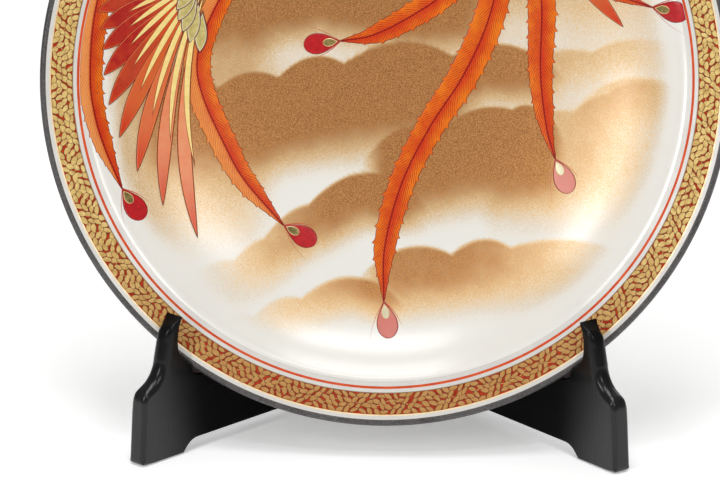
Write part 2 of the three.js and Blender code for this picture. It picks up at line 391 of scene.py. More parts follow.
def plate_section():
    """The half section from the middle of the face, over the lip, to the middle of the back,
    as points (radius, height), and the finish of the stretch that ends at each point."""
    lip = PLATE_RADIUS
    step = STEP_RADIUS
    ring = FOOT_RING_RADIUS
    foot = -FOOT_RING_DEPTH
    base = -WELL_DEPTH - WALL
    points = [(0, -WELL_DEPTH)]
    finishes = ["painted"]

    def stretch(finish, count, *controls):
        made = bezier([points[-1], *controls], count)
        points.extend(map(tuple, made))
        finishes.extend([finish] * count)

    stretch("painted", 96, (62, -WELL_DEPTH), (step - 25.5, -22.5), (step, -7.4))
    stretch("painted", 5, (step + 1.5, -6.2), on_flange(step + 3.5))
    stretch("flange", 2, on_flange(RED_LINE[0]))
    stretch("red_line", 1, on_flange(RED_LINE[1]))
    stretch("flange", 2, on_flange(BORDER[0] - 0.35))
    stretch("edge_line", 1, on_flange(BORDER[0]))
    stretch("red_ground", 3, on_flange(BORDER[1]))
    stretch("pale_gold", 1, on_flange(PALE_GOLD_LINE[1]))
    stretch("flange", 3, on_flange(FLANGE_EDGE))
    stretch("lip", 3, (lip - 1.7, -0.2), (lip - 0.9, -0.7))
    stretch("lip", 3, (lip, -1.3), (lip, -2.7))
    stretch("lip", 3, (lip, -5), (lip - 2.9, -6))
    stretch("glaze", 2, (step + 4, -11.6))
    stretch("glaze", 13, (step - 13, -19.5), (ring + 26, -29.5), (ring + 2, base + 0.5))
    stretch("glaze", 4, (ring + 0.6, base), (ring + 0.4, base - 1.5))
    stretch("glaze", 3, (ring - 0.3, foot + 0.9))
    stretch("bisque", 3, (ring - 0.4, foot), (ring - 1.4, foot))
    stretch("bisque", 2, (ring - 4.1, foot))
    stretch("bisque", 3, (ring - 5.1, foot), (ring - 5.2, foot + 0.9))
    stretch("glaze", 3, (ring - 6.4, base - 2.6))
    stretch("glaze", 4, (ring - 7.2, base - 0.8), (ring - 11, base - 0.5))
    stretch("glaze", 6, (0, base))
    return np.array(points), finishes


SECTION, SECTION_FINISHES = plate_section()
FACE_END = SECTION_FINISHES.index("lip")


def face_height(radius):
    return np.interp(radius, SECTION[:FACE_END, 0], SECTION[:FACE_END, 1])


def plate_place():
    """The matrix from the plate's frame in metres to the row frame: it leans back, and the
    box of the section's outline falls on the box of the CAD plate."""
    turn = Matrix.Rotation(pi / 2 - PLATE_LEAN, 4, "X")
    both = np.vstack([SECTION * (1, 1), SECTION * (-1, 1)]) * MM
    y = both[:, 0] * PLATE_UP.y + both[:, 1] * PLATE_OUT.y
    z = both[:, 0] * PLATE_UP.z + both[:, 1] * PLATE_OUT.z
    middle = Vector((0, (y.min() + y.max()) / 2, (z.min() + z.max()) / 2))
    return Matrix.Translation((plate_low + plate_high) / 2 - middle) @ turn


PLATE_PLACE = plate_place()


def smooth_step(values, low, high):
    share = np.clip((values - low) / (high - low), 0, 1)
    return share * share * (3 - 2 * share)


# Banks of gold mist, as lobes (middle x, top y, half width), solid, depth, strength, left and
# right. Each bank has a clear upper edge made of its lobes, stays thick for the first solid
# millimetres and is gone at its depth. It fades in from the left over the length called left,
# and out over the one called right.
MIST_BANKS = [
    (((-62, 66, 24), (-30, 72, 26), (8, 66, 30)), 36, 60, 1.0, 24, 30),
    (((-90, 4, 14), (-58, 3, 17), (-30, 10.5, 16), (8, 17, 24)), 24, 58, 1.0, 14, 24),
    (((48, 17, 22),), 12, 32, 0.9, 22, 22),
    (((-68, -80, 18), (-50, -70, 14), (-32, -55, 15), (-8, -41, 19)), 7, 34, 0.95, 90, 19),
    (((14, -20, 17), (48, -11, 20), (62, -10, 12)), 20, 54, 1.0, 17, 12),
    # The bank below is partly thin gold and partly painted highlight: its paler tone stands in for
    # the sheen on the right of the well.
    (((78, -12, 24), (97, -5, 14), (113, 1, 18)), 28, 66, 0.38, 10, 64),
    (((70, 56, 30), (100, 50, 26)), 8, 40, 0.38, 30, 70),
    (((82, 15, 22), (112, 20, 24)), 3, 24, 0.36, 22, 70),
    (((112, 3, 22),), 3, 28, 0.3, 22, 22),
    (((-62, -104, 17), (-41, -96, 15), (-15, -87, 19)), 2, 26, 0.85, 100, 19),
    (((16, -73, 20), (45, -69.5, 16), (79, -69, 32)), 11, 42, 0.8, 20, 110),
    (((-104, 30, 16), (-80, 32, 24)), 80, 125, 0.4, 16, 24),
    (((-10, 124, 34), (28, 116, 26)), 12, 44, 0.8, 34, 26),
    (((62, 98, 28), (96, 84, 24)), 10, 36, 0.7, 28, 24),
    (((-104, 72, 22), (-76, 94, 26)), 8, 38, 0.6, 22, 26),
]
LOBE_DROP = 7.5  # how far a lobe's edge falls from its middle to its half width
LOBE_REACH = 1.6  # where a bank ends, in half widths from the middle of its outer lobe
EDGE_BLUR = (-0.8, 1.9)  # how far above and below its edge a bank fades in
STEP_FADE = 12  # the gold is gone at the step and starts to fade this far inside it
HAZE = 0.2  # thin gold between the banks, fading out low on the left


def mist(x, y):
    """Thickness of the sprayed gold, 0 to 1, at points of the face."""
    clear = np.ones_like(x)
    for lobes, solid, depth, strength, left, right in MIST_BANKS:
        middles, tops, halves = np.array(lobes).T
        edges = [top - LOBE_DROP * ((x - middle) / half) ** 2 for middle, top, half in lobes]
        rise = smooth_step(np.max(edges, axis=0) - y, *EDGE_BLUR)
        start = middles[0] - LOBE_REACH * halves[0]
        end = middles[-1] + LOBE_REACH * halves[-1]
        ends = smooth_step(x, start, start + left) * (1 - smooth_step(x, end - right, end))
        below = np.interp(x, middles, tops) - y
        fall = 1 - smooth_step(below, solid, depth)
        clear *= 1 - strength * rise * fall * ends
    inside = 1 - smooth_step(np.hypot(x, y), STEP_RADIUS - STEP_FADE, STEP_RADIUS)
    haze = HAZE * smooth_step(y + 0.3 * x, -75, 0)
    return (1 - clear * (1 - haze)) * inside


def add_object(name, data):
    """A new object in the scene that shows this mesh, light or camera."""
    made = bpy.data.objects.new(name, data)
    bpy.context.scene.collection.objects.link(made)
    return made


def mesh_piece(name, points, faces, materials, body, values=None, indices=None):
    """A smooth mesh that rides on a body, with named values at its points."""
    mesh = bpy.data.meshes.new(name)
    mesh.from_pydata(np.asarray(points).tolist(), [], faces)
    if body == "plate":
        mesh.transform(PLATE_PLACE)
    for material in materials:
        mesh.materials.append(material)
    if indices is not None:
        mesh.polygons.foreach_set("material_index", indices)
    mesh.shade_smooth()
    for key, numbers in (values or {}).items():
        attribute = mesh.attributes.new(key, "FLOAT", "POINT")
        attribute.data.foreach_set("value", np.asarray(numbers, np.float32))
    made = add_object(name, mesh)
    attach(made, body)
    return made


def loft_faces(rings, count, first=0):
    """Quads from each closed ring of count points to the next. First is their first point."""
    around = np.arange(count)
    after = np.roll(around, -1)
    faces = []
    for low in range(first, first + (rings - 1) * count, count):
        high = low + count
        quads = np.column_stack([low + around, high + around, high + after, low + after])
        faces.extend(map(tuple, quads.tolist()))
    return faces


def plate_finishes():
    """The finish of each stretch of the plate's section."""
    return {
        "painted": glaze_finish(),
        "glaze": white_glaze_finish(),
        # The flange's glaze is a greyer copy of the white glaze: painted shade.
        "flange": mottled("flange_glaze", (214, 211, 205), (207, 203, 197), 14, 0.3),
        "red_line": mottled("red_line", (214, 84, 32), (198, 66, 24), 4, 0.4, gloss=0.2),
        "edge_line": mottled("border_edge", (128, 116, 88), (150, 136, 100), 4),
        "red_ground": mottled("border_ground", (188, 56, 16), (142, 36, 10), 1.6, 0.6, gloss=0.15),
        "pale_gold": mottled("pale_gold", (246, 222, 176), (230, 200, 148), metallic=0.3),
        "lip": lip_finish(),
        "bisque": mottled("bisque", (222, 212, 196), (200, 188, 170), 1.2, 0.85, relief=0.06),
    }


def build_plate():
    """The section turned about the plate's axis, with a point in the middle of each side."""
    finishes = plate_finishes()
    order = list(finishes)
    count = PLATE_SEGMENTS
    angles = np.linspace(0, 2 * pi, count, endpoint=False)
    rings = SECTION[1:-1]
    x = np.outer(rings[:, 0], np.cos(angles)).ravel()
    y = np.outer(rings[:, 0], np.sin(angles)).ravel()
    z = np.repeat(rings[:, 1], count)
    middles = [(0, 0, SECTION[0, 1]), (0, 0, SECTION[-1, 1])]
    points = np.vstack([middles, np.column_stack([x, y, z])])
    gold = mist(points[:, 0], points[:, 1])
    last = 2 + (len(rings) - 1) * count
    pairs = [(k, (k + 1) % count) for k in range(count)]
    faces = [(0, 2 + a, 2 + b) for a, b in pairs]
    faces += loft_faces(len(rings), count, first=2)
    faces += [(1, last + b, last + a) for a, b in pairs]
    indices = np.repeat([order.index(finish) for finish in SECTION_FINISHES[1:]], count)
    looks = list(finishes.values())
    plate = mesh_piece("porcelain_plate", points * MM, faces, looks, "plate",
                       {"gold": gold}, indices)
    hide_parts("plate_body")


# ---- raised enamel painting


def path_through(controls, step):
    """A smooth path through the control points, with points about step millimetres apart."""
    knots = np.array(controls, float)
    padded = np.vstack([2 * knots[0] - knots[1], knots, 2 * knots[-1] - knots[-2]])
    t = np.linspace(0, 1, 24, endpoint=False)[:, None]
    parts = []
    for a, b, c, d in zip(padded, padded[1:], padded[2:], padded[3:]):
        parts.append(0.5 * (2 * b + (c - a) * t + (2 * a - 5 * b + 4 * c - d) * t**2
                            + (3 * b - a - 3 * c + d) * t**3))
    dense = np.vstack([*parts, knots[-1:]])
    lengths = np.concatenate([[0], np.cumsum(np.hypot(*np.diff(dense, axis=0).T))])
    count = max(2, round(lengths[-1] / step))
    at = np.linspace(0, lengths[-1], count + 1)
    return np.column_stack([np.interp(at, lengths, dense[:, axis]) for axis in (0, 1)]), at


ON_FACE = (0, RED_LINE[0] - 0.2)  # the radii that the painting keeps between
ON_BORDER = (BORDER[0] + 0.05, BORDER[1] - 0.05)


class Enamel:
    """Strips of thick enamel on the plate's face, gathered into one mesh."""

    thin_edge = 0.03  # narrowest half width, and how far a strip's edge sinks into the glaze

    def __init__(self, *places):
        """A strip has points at these places across it, 0 in the middle to 1 at an edge, on
        both sides, and along its edges."""
        both = {side * place for place in (*places, 1) for side in (-1, 1)}
        self.across = np.array(sorted(both), float)
        self.points = []
        self.faces = []
        self.values = {"along": [], "side": [], "edge": [], "share": [], "tone": []}
        self.count = 0

    def strip(self, path, at, left, right, thickness, level=0.0, tone=0.0, limits=ON_FACE):
        """A strip along the path, left and right of it by those half widths, kept between two
        radii. Its middle stands level plus thickness over the glaze and its edges sink in."""
        ahead = np.gradient(path, axis=0)
        ahead /= np.hypot(ahead[:, 0], ahead[:, 1])[:, None]
        normal = np.column_stack([-ahead[:, 1], ahead[:, 0]])
        half = np.where(self.across > 0, left[:, None], right[:, None])
        half = np.maximum(half, self.thin_edge)
        side = half * self.across
        flat = path[:, None, :] + normal[:, None, :] * side[:, :, None]
        radius = np.hypot(flat[..., 0], flat[..., 1])
        kept = np.clip(radius, *limits)
        flat *= (kept / np.maximum(radius, 0.01))[..., None]
        crown = np.sqrt(np.clip(1 - np.abs(self.across) ** 3, 0, 1))[None, :]
        lift = np.where(crown > 0.01, level + thickness * crown, -self.thin_edge)
        height = face_height(kept) + lift
        rows, columns = side.shape
        self.points.append(np.dstack([flat, height]).reshape(-1, 3))
        grid = self.count + np.arange(rows * columns).reshape(rows, columns)
        quads = np.stack([grid[:-1, :-1], grid[1:, :-1], grid[1:, 1:], grid[:-1, 1:]], axis=-1)
        self.faces.extend(map(tuple, quads[..., ::-1].reshape(-1, 4).tolist()))
        self.count += rows * columns
        along = at[:, None]
        inside = half * (1 - np.abs(self.across))
        for key, numbers in zip(self.values, (along, side, inside, along / at[-1], tone)):
            self.values[key].append(np.broadcast_to(numbers, side.shape).ravel())

    def leaf(self, start, end, width, thickness, bend=0.0, fullness=0.5, blunt=False, plump=0.8,
             steps=14, **options):
        """A leaf from start to end, widest at fullness of its length, pointed at both ends or,
        if blunt, round at the far one."""
        start, end = np.array(start, float), np.array(end, float)
        reach = end - start
        control = (start + end) / 2 + 2 * bend * np.array([-reach[1], reach[0]])
        share = (1 - np.cos(np.linspace(0, pi, steps + 1))) / 2
        s = share[:, None]
        path = (1 - s) ** 2 * start + 2 * s * (1 - s) * control + s**2 * end
        if blunt:
            rising = np.sin(pi / 2 * np.clip(share / fullness, 0, 1)) ** 1.1
            falling = np.sqrt(1 - np.clip((share - fullness) / (1 - fullness), 0, 1) ** 2)
            half = width / 2 * rising * falling
        else:
            skewed = share ** (log(0.5) / log(fullness))
            half = width / 2 * np.sin(pi * skewed) ** plump
        self.strip(path, share * np.hypot(*reach), half, half, thickness, **options)

    def line(self, controls, width, thickness, taper=False):
        """A thin line through the controls, of one width or running out to a point."""
        path, at = path_through(controls, 0.8)
        half = np.full(len(at), width / 2)
        if taper:
            half = half * (1 - 0.9 * at / at[-1])
        self.strip(path, at, half, half, thickness)

    def build(self, name, material):
        values = {key: np.concatenate(parts) for key, parts in self.values.items()}
        points = np.vstack(self.points) * MM
        mesh_piece(name, points, self.faces, [material], "plate", values)


def polar(radius, angle):
    return np.array([radius * cos(angle), radius * sin(angle)])


def build_border():
    """A red band packed with plump gold leaves in rows; their slant swings along a thin vine."""
    waves = 42
    rows = 4
    pitch = 3.3
    leaf_length = 4.3
    leaf_width = 2.8
    leaf_swing = 52  # degrees to each side of upright
    vine_swing = 1.6
    vine_width = 0.48
    rng = random.Random(7)
    middle = (BORDER[0] + BORDER[1]) / 2
    row_pitch = (BORDER[1] - BORDER[0]) / rows
    leaves = Enamel(0.4, 0.92)
    vine = Enamel(0)
    steps = waves * 24
    turns = np.linspace(0, 2 * pi, steps + 1)
    winding = middle + vine_swing * np.sin(waves * turns)
    ring = np.column_stack([winding * np.cos(turns), winding * np.sin(turns)])
    half = np.full(steps + 1, vine_width / 2)
    vine.strip(ring, turns * middle, half, half, 0.1, limits=ON_BORDER)
    count = round(2 * pi * middle / pitch)
    for row in range(rows):
        radius = BORDER[0] + row_pitch * (row + 0.5)
        for k in range(count):
            angle = 2 * pi * (k + row % 2 / 2 + rng.uniform(-0.1, 0.1)) / count
            swing = sin(waves * angle + 0.9 * row)
            slant = angle + pi / 2 + radians(leaf_swing * swing + rng.uniform(-16, 16))
            centre = polar(radius + rng.uniform(-0.2, 0.2), angle)
            reach = polar(leaf_length / 2 * rng.uniform(0.85, 1.1), slant)
            slim = 1 - 0.12 * max(0, -sin(angle)) ** 3  # slimmer low on the plate
            width = leaf_width * rng.uniform(0.86, 1.1) * slim
            leaves.leaf(centre - reach, centre + reach, width, 0.08, bend=rng.uniform(-0.1, 0.1),
                        plump=0.55, steps=9, level=0.05 * ((k + 2 * row) % 3), limits=ON_BORDER)
    vine_gold = mottled("vine_gold", (200, 164, 94), (172, 130, 68), 2, 0.5, 0.1)
    leaves.build("border_leaves", border_gold_finish())
    vine.build("border_vine", vine_gold)


class Bird:
    """The long-tailed bird: one sheet of enamel for each colour of the bird."""

    tooth = 7.0  # from one thorn of a plume's edge to the next
    eye_size = (16.5, 9.6)  # length and width
    heart_size = (6.6, 3.9)
    feather_width = 8.6

    def __init__(self):
        self.plumes = Enamel(0, 0.1, 0.45, 0.85, 0.97)
        self.eyes = Enamel(0, 0.4, 0.8, 0.96)
        self.hearts = Enamel(0, 0.6, 0.94)
        self.wisps = Enamel(0)
        self.feathers = Enamel(0, 0.4, 0.85, 0.97)
        self.blades = Enamel(0, 0.6, 0.94)
        self.scales = Enamel(0, 0.6, 0.96)

    def plume(self, controls, widths, eye_turn, pale, pale_tone_and_glare, level):
        """A plume with thorny edges along the controls, and an eye beyond its end.
        Widths are half widths spread evenly along it."""
        path, at = path_through(controls, self.tooth / 14)
        base = np.interp(at / at[-1], np.linspace(0, 1, len(widths)), widths)

        def thorny(shift):
            wave = (at / self.tooth + shift) % 1
            return base * (0.86 + 0.05 * np.sin(2 * pi * wave) + 0.25 * wave**3)

        self.plumes.strip(path, at, thorny(0), thorny(0.45), 0.12, level, tone=pale)
        ahead = path[-1] - path[-4]
        heading = atan2(ahead[1], ahead[0]) + radians(eye_turn)
        self.eye(path[-1], heading, level, pale_tone_and_glare)

    def drop(self, sheet, root, heading, size, thickness, fullness, **options):
        """A drop that is pointed at its root and round at its far end."""
        length, width = size
        end = root + polar(length, heading)
        sheet.leaf(root, end, width, thickness, fullness=fullness, blunt=True, **options)

    def eye(self, root, heading, level, pale_tone_and_glare):
        """A red drop with a gold heart, and two wisps that curl past it."""
        # The eye's tone pales it and its heart to pink and cream: a painted highlight.
        self.drop(self.eyes, root, heading, self.eye_size, 0.16, 0.64, level=level + 0.04, tone=pale_tone_and_glare)
        start = root + polar(1.2, heading)
        self.drop(self.hearts, start, heading, self.heart_size, 0.14, 0.6, level=level + 0.2,
                  tone=pale_tone_and_glare)
        for side, reach, width in ((1, 13, 1.0), (-1, 19, 0.5)):
            near = root + polar(0.5 * reach, heading + side * 0.62)
            far = root + polar(reach, heading + side * 0.5)
            self.wisps.line([root, near, far], width, 0.06, taper=True)

    def fan(self, root, feathers):
        """Feathers (heading in degrees, length, bend, tone) about the root, each over the one
        before, with a yellow blade along the upper part of each."""
        for number, (degrees, length, bend, tone) in enumerate(feathers):
            heading = radians(degrees)
            level = 0.06 + 0.04 * number
            start = root + polar(4, heading + 0.4)
            width = self.feather_width - 1.2 * tone
            self.feathers.leaf(start, root + polar(length, heading), width, 0.06, bend=bend,
                               fullness=0.68, level=level, tone=tone, steps=26)
            over = heading - radians(1.5)
            start = root + polar(7, over + 0.1)
            width = 2.3 + 0.05 * number
            self.blades.leaf(start, root + polar(0.73 * length, over), width, 0.08, bend=bend,
                             fullness=0.5, level=level + 0.07, steps=22)

    def row(self, sheet, controls, pitch, headings, lengths, width, level, tone=0.0, blunt=True,
            skipped=0):
        """Leaves rooted along a path, each turned and sized part of the way from first to last."""
        path = path_through(controls, pitch)[0][skipped:]
        for number, root in enumerate(path):
            share = number / (len(path) - 1)
            heading = radians(headings[0] + share * (headings[1] - headings[0]))
            length = lengths[0] + share * (lengths[1] - lengths[0])
            sheet.leaf(root, root + polar(length, heading), width, 0.05, fullness=0.62, blunt=blunt,
                       level=level + 0.05 * (number % 2), tone=tone)

    def build(self):
        # The second colours of the eye and its heart, pink and cream, are painted highlight.
        red = outlined("eye_red", (190, 18, 24), (168, 12, 22), (128, 16, 16), 0.5,
                       pale_tone_and_glare=(222, 146, 130))
        gold = outlined("eye_gold", (150, 132, 78), (104, 88, 44), (226, 200, 140), 0.5, 0.2,
                        pale_tone_and_glare=(250, 242, 206))
        wisp = mottled("wisp_line", (200, 74, 40), (180, 84, 56), 2)
        yellow = outlined("blade_yellow", (242, 216, 138), (234, 206, 124), (150, 62, 26), 0.34)
        olive = outlined("scale_gold", (206, 190, 122), (182, 164, 94), (98, 52, 44), 0.66, 0.1,
                         inner=(228, 216, 190))
        self.plumes.build("tail_plumes", plume_finish())
        self.eyes.build("plume_eyes", red)
        self.hearts.build("eye_hearts", gold)
        self.wisps.build("eye_wisps", wisp)
        self.feathers.build("wing_feathers", feather_finish())
        self.blades.build("wing_blades", yellow)
        self.scales.build("wing_scales", olive)


TAIL_ROOT = (48, 88)
TAIL_PLUMES = [
    # controls, half widths, how far the eye turns from the end's heading, paleness of one side of the
    # plume, and the painted highlight that pales its eye to pink and cream
    (((-60, 62), (-84, 82), (-107, 77), (-122, 52), (-129, 26), (-130.5, 0), (-128.5, -16),
      (-124, -31), (-116, -49.5)),
     (4, 5.4, 6.2, 6.4, 6.4, 6.3, 6.2, 5.6, 4.6, 0.4), 12, 1, 0),
    (((-58, 60), (-68, 46), (-78, 28), (-84, 10), (-82, -7), (-71, -31), (-62, -46), (-45, -65)),
     (5, 5.6, 6.2, 6.8, 6.8, 6.4, 5.0, 0.4), 20, 0.8, 0),
    ((TAIL_ROOT, (42, 60), (26, 40), (12, 29.5), (-6, 20), (-21, 17)),
     (4, 6.2, 7, 7, 6.4, 5.2, 0.4), -3, 0, 0),
    ((TAIL_ROOT, (49, 52), (44.5, 27), (33.5, 2), (19, -21), (7, -46), (0, -74), (0, -98)),
     (5, 6.6, 7.4, 7.8, 7.6, 7.2, 6.6, 6.3, 5.4, 0.4), 10, 0, 0.7),
    ((TAIL_ROOT, (63, 62), (68, 36), (68, 4), (71, -20), (75, -34)),
     (4, 6.6, 7, 7, 6.2, 4.8, 0.4), 8, 0, 1),
    ((TAIL_ROOT, (72, 66), (96, 42), (117, 33.5)), (4, 6, 5, 0.4), 10, 0, 0),
]


def paint_tail(bird):
    """Each plume lies a little over the one before."""
    for number, plume in enumerate(TAIL_PLUMES):
        bird.plume(*plume, level=0.015 * number)


def paint_wings(bird):
    """The near wing sweeps down on the left from a long arm; the far one points right."""
    hand = np.array([-81, 46])
    near_fan = []
    for number in range(-5, 8):
        share = max(0, number) / 7
        heading = 209 + 8.6 * number
        length = 52 + 65 * share**1.4 + min(0, 2 * number)
        bend = -0.02 - 0.055 * share**2
        tone = min(0.9, max(0, -0.3 * number))
        if number > 2:
            tone = min(2, (number - 2.2) / 2.2)
        near_fan.append((heading, length, bend, tone))
    bird.fan(hand, near_fan)
    for number in range(6):
        heading = radians(224 + 8.5 * number)
        reach = 17 + 3.6 * number
        start = hand + polar(reach - 19, heading)
        bird.scales.leaf(start, hand + polar(reach, heading), 6, 0.05, fullness=0.6,
                         level=0.6 + 0.055 * (5 - number), steps=18)
    arm = ((-76, 42), (-52, 66), (-24, 86), (6, 98))
    bird.row(bird.feathers, arm, 6.2, (236, 262), (17, 30), 7.5, 0.1, tone=0.6, blunt=False,
             skipped=3)
    near = ((-80, 42), (-56, 68), (-26, 89), (4, 102))
    bird.row(bird.scales, near, 4.6, (226, 250), (13, 15), 6, 0.3)
    upper = ((-80, 48), (-58, 73), (-28, 94), (0, 106))
    bird.row(bird.scales, upper, 3.6, (222, 244), (8, 9), 4.6, 0.44)
    far_hand = np.array([48, 92])
    far_fan = [(12 * number - 50, 88 - 13 * number, -0.02, 0.8) for number in range(6)]
    bird.fan(far_hand, far_fan)
    far_arm = ((54, 84), (60, 92), (52, 100), (38, 103))
    bird.row(bird.scales, far_arm, 5, (-52, 10), (16, 12), 6, 0.4)


def paint_body(bird):
    """A scaled body, a neck of fine hackles, and a small plain head with a crest."""
    spine, _ = path_through([(50, 85), (36, 90), (18, 97), (2, 103)], 3.4)
    for number, centre in enumerate(spine):
        half_width = 11.5 * sin(pi * (0.16 + 0.62 * number / len(spine)))
        across = range(-2, 3) if number % 2 else (-1.5, -0.5, 0.5, 1.5)
        for place in across:
            root = centre + place / 2.2 * half_width * np.array([0.36, 0.93])
            bird.drop(bird.scales, root, radians(-22 - 5 * place), (7.4, 5.2), 0.05, 0.6,
                      level=0.3 + 0.045 * number)
    neck, _ = path_through([(8, 101), (-4, 108), (-16, 113)], 2.4)
    for number, centre in enumerate(neck):
        for place in (-1, -0.35, 0.35, 1):
            root = centre + place * (5.4 - 0.28 * number) * np.array([0.4, 0.92])
            end = root + polar(9.5, radians(-34 - 16 * place))
            bird.feathers.leaf(root, end, 2.3, 0.05, level=0.5 + 0.045 * number, tone=0.6)
    bird.eyes.leaf((-12, 111), (-27, 114), 9.0, 0.5, fullness=0.5, level=0.3)
    bird.blades.leaf((-25, 114.2), (-35, 111), 3.4, 0.4, bend=0.1, fullness=0.3, level=0.3)
    bird.hearts.leaf((-20.5, 114.6), (-22.6, 115.0), 1.9, 0.2, level=0.8)
    for number in range(3):
        root = np.array([-18 + 2.6 * number, 116])
        tip = root + polar(9 + 2 * number, radians(112 - 34 * number))
        bird.wisps.line([root, (root + tip) / 2 + (-1, 0.6), tip], 0.8, 0.12)
        bird.drop(bird.eyes, tip, radians(80 - 40 * number), (4, 2.6), 0.14, 0.64)


def paint_bird():
    bird = Bird()
    paint_tail(bird)
    paint_wings(bird)
    paint_body(bird)
    bird.build()


# ---- the stand


NOTCH = [(31.5, 37.4), (34.5, 34.3), (38.5, 33.9), (42, 37.2)]  # (behind the front edge, up)


def board_outline(lift):
    """The outline of a board, clockwise seen from outside it, as points (forward, up), and the
    radius to which its arris is rounded at each. Points are worked out as (behind the front
    edge, up). The front wall of the notch is cut at a slant that follows the rim, so it stands
    higher (a lift of 1) on the inner face of the board."""
    rear = BOARD_LENGTH - REAR_EDGE
    heel = FOOT_LENGTH
    rear_heel = rear - FOOT_LENGTH + 4
    bull, shoulder, soft, plain, foot, crisp = 4.2, 2.8, 2.2, 0.9, 0.7, 0.5
    points = [(2.2, FOOT_HEIGHT)]
    rounding = [foot]

    def stretch(arris, *controls, spacing=0.7, count=None):
        rough = np.array([points[-1], *controls], float)
        length = np.hypot(*np.diff(rough, axis=0).T).sum()
        made = bezier(rough, count or max(3, round(length / spacing)))
        points.extend(map(tuple, made))
        rounding.extend([arris] * len(made))

    stretch(soft, (0, FOOT_HEIGHT), (0, FOOT_HEIGHT + 2.6), spacing=0.3)
    stretch(soft, (1.6, 28))
    stretch(shoulder, (1.9, 31.5), (3, 33), (5.3, 34.6), spacing=0.4)
    stretch(bull, (10.5, 37.6), (13.2, 41), (13.8, 46), spacing=0.5)
    stretch(bull, (15.8, 54.5))
    stretch(bull, (16.8, 58.5), (18.3, 60.4), (21.3, 61.9), spacing=0.5)
    stretch(bull, (25, HOOK_TOP - 0.2), spacing=0.3)
    stretch(crisp, (25.3, HOOK_TOP), (25.15, HOOK_TOP - 0.5), spacing=0.2)
    stretch(crisp, (23.6, 59.6), spacing=0.3)
    stretch(crisp, (22.3, 54.5), (22.1, 48), (25.2, 43.4 + 1.6 * lift), count=24)
    stretch(crisp, (28, 40.2 + 2.4 * lift), (31.1, 37.7 + 2.1 * lift), count=9)
    stretch(crisp, (31.5, 37.5 + 1.2 * lift), NOTCH[0], count=3)
    stretch(crisp, *NOTCH[1:])
    stretch(plain, (53, 48), (80, 60), (109, 67))
    stretch(plain, (138.9, 141))
    stretch(soft, (141, POST_TOP), (146.5, POST_TOP), spacing=0.4)
    stretch(soft, (rear, POST_TOP), (rear, POST_TOP - 8.4), spacing=0.4)
    stretch(plain, (rear, FOOT_HEIGHT + 1.2))
    stretch(foot, (rear, FOOT_HEIGHT), (rear - 1.2, FOOT_HEIGHT), spacing=0.3)
    stretch(foot, (rear_heel, FOOT_HEIGHT))
    stretch(foot, (rear_heel - 2, 2.4), (rear_heel - 4, ARCH_HEIGHT), (rear_heel - 9, ARCH_HEIGHT))
    stretch(foot, (heel + 9.2, ARCH_HEIGHT))
    stretch(foot, (heel + 4, ARCH_HEIGHT), (heel + 2, 2.4), (heel, FOOT_HEIGHT))
    stretch(foot, (2.2, FOOT_HEIGHT))
    outline = np.array(points[:-1]) * (-1, 1) + (BOARD_LENGTH, 0)
    return outline, np.array(rounding[:-1])


def board_frame(side):
    """The matrix from a board's frame in metres to the row frame; side is -1 left, 1 right."""
    sine, cosine = sin(BOARD_SPREAD), cos(BOARD_SPREAD)
    return Matrix(((side * sine, side * cosine, 0, 0), (-cosine, sine, 0, HINGE_Y),
                   (0, 0, 1, 0), (0, 0, 0, 1)))


def smooth_round(numbers, reach):
    """The running mean of a closed list of numbers over reach entries each way."""
    return sum(np.roll(numbers, shift) for shift in range(-reach, reach + 1)) / (2 * reach + 1)


def board_mesh():
    """A board in its own frame: points in millimetres and faces that look outwards. The arris
    runs out towards the tip of the hook and the toe of the foot, where the outline is tight."""
    steps = 8
    blend = 7  # outline points to each side over which one arris turns into the next
    tip = np.array([BOARD_LENGTH - 25.2, HOOK_TOP])
    toe = np.array([BOARD_LENGTH, FOOT_HEIGHT])
    layers = []
    for face, turns in ((0, (0, pi / 2)), (1, (pi / 2, 0))):
        for corner in np.linspace(*turns, steps):
            layers.append((face, corner))
    rows = []
    for face, corner in layers:
        outline, rounding = board_outline(1 - face)
        ahead = np.roll(outline, -1, axis=0) - np.roll(outline, 1, axis=0)
        ahead /= np.hypot(ahead[:, 0], ahead[:, 1])[:, None]
        inward = np.column_stack([-ahead[:, 1], ahead[:, 0]])
        from_tip = np.hypot(*(outline - tip).T)
        from_toe = np.hypot(*(outline - toe).T)
        near_tip = 0.15 + (0.3, 0.6)[face] * from_tip
        near_toe = 0.8 + 0.6 * from_toe
        arris = np.minimum(smooth_round(rounding, blend), np.minimum(near_tip, near_toe))
        place = outline + inward * (arris * (1 - sin(corner)))[:, None]
        depth = arris * (1 - cos(corner))
        depth = CLOSED_GAP + (BOARD_THICKNESS - depth if face else depth)
        rows.append(np.column_stack([place[:, 0], depth, place[:, 1]]))
    points = np.vstack(rows)
    count = len(rows[0])
    inner_face = tuple(range(count))
    top = (len(rows) - 1) * count
    outer_face = tuple(range(top, top + count))[::-1]
    return points, [inner_face, *loft_faces(len(rows), count), outer_face]


def upright_prism(ring, low, high):
    """The corners and faces of a prism over a ring of points, from low to high."""
    count = len(ring)
    corners = [(x, y, z) for z in (high, low) for x, y in ring]
    faces = [tuple(range(count)), *loft_faces(2, count), tuple(range(count, 2 * count))[::-1]]
    return corners, faces


def round_ended(start, length, radius, middle):
    """A ring with round ends about a line of that length."""
    turns = np.linspace(-pi / 2, pi / 2, 12)
    ring = [(start + length + radius * cos(a), middle + radius * sin(a)) for a in turns]
    return ring + [(start - radius * cos(a), middle - radius * sin(a)) for a in turns]


def temporary(corners, faces, place):
    """A closed shape, given in a board's frame, that lasts until it has cut a piece."""
    mesh = bpy.data.meshes.new("cutter")
    mesh.from_pydata([tuple(c * MM for c in corner) for corner in corners], [], faces)
    if place.determinant() < 0:
        mesh.flip_normals()
    made = add_object("cutter", mesh)
    made.matrix_world = place
    return made


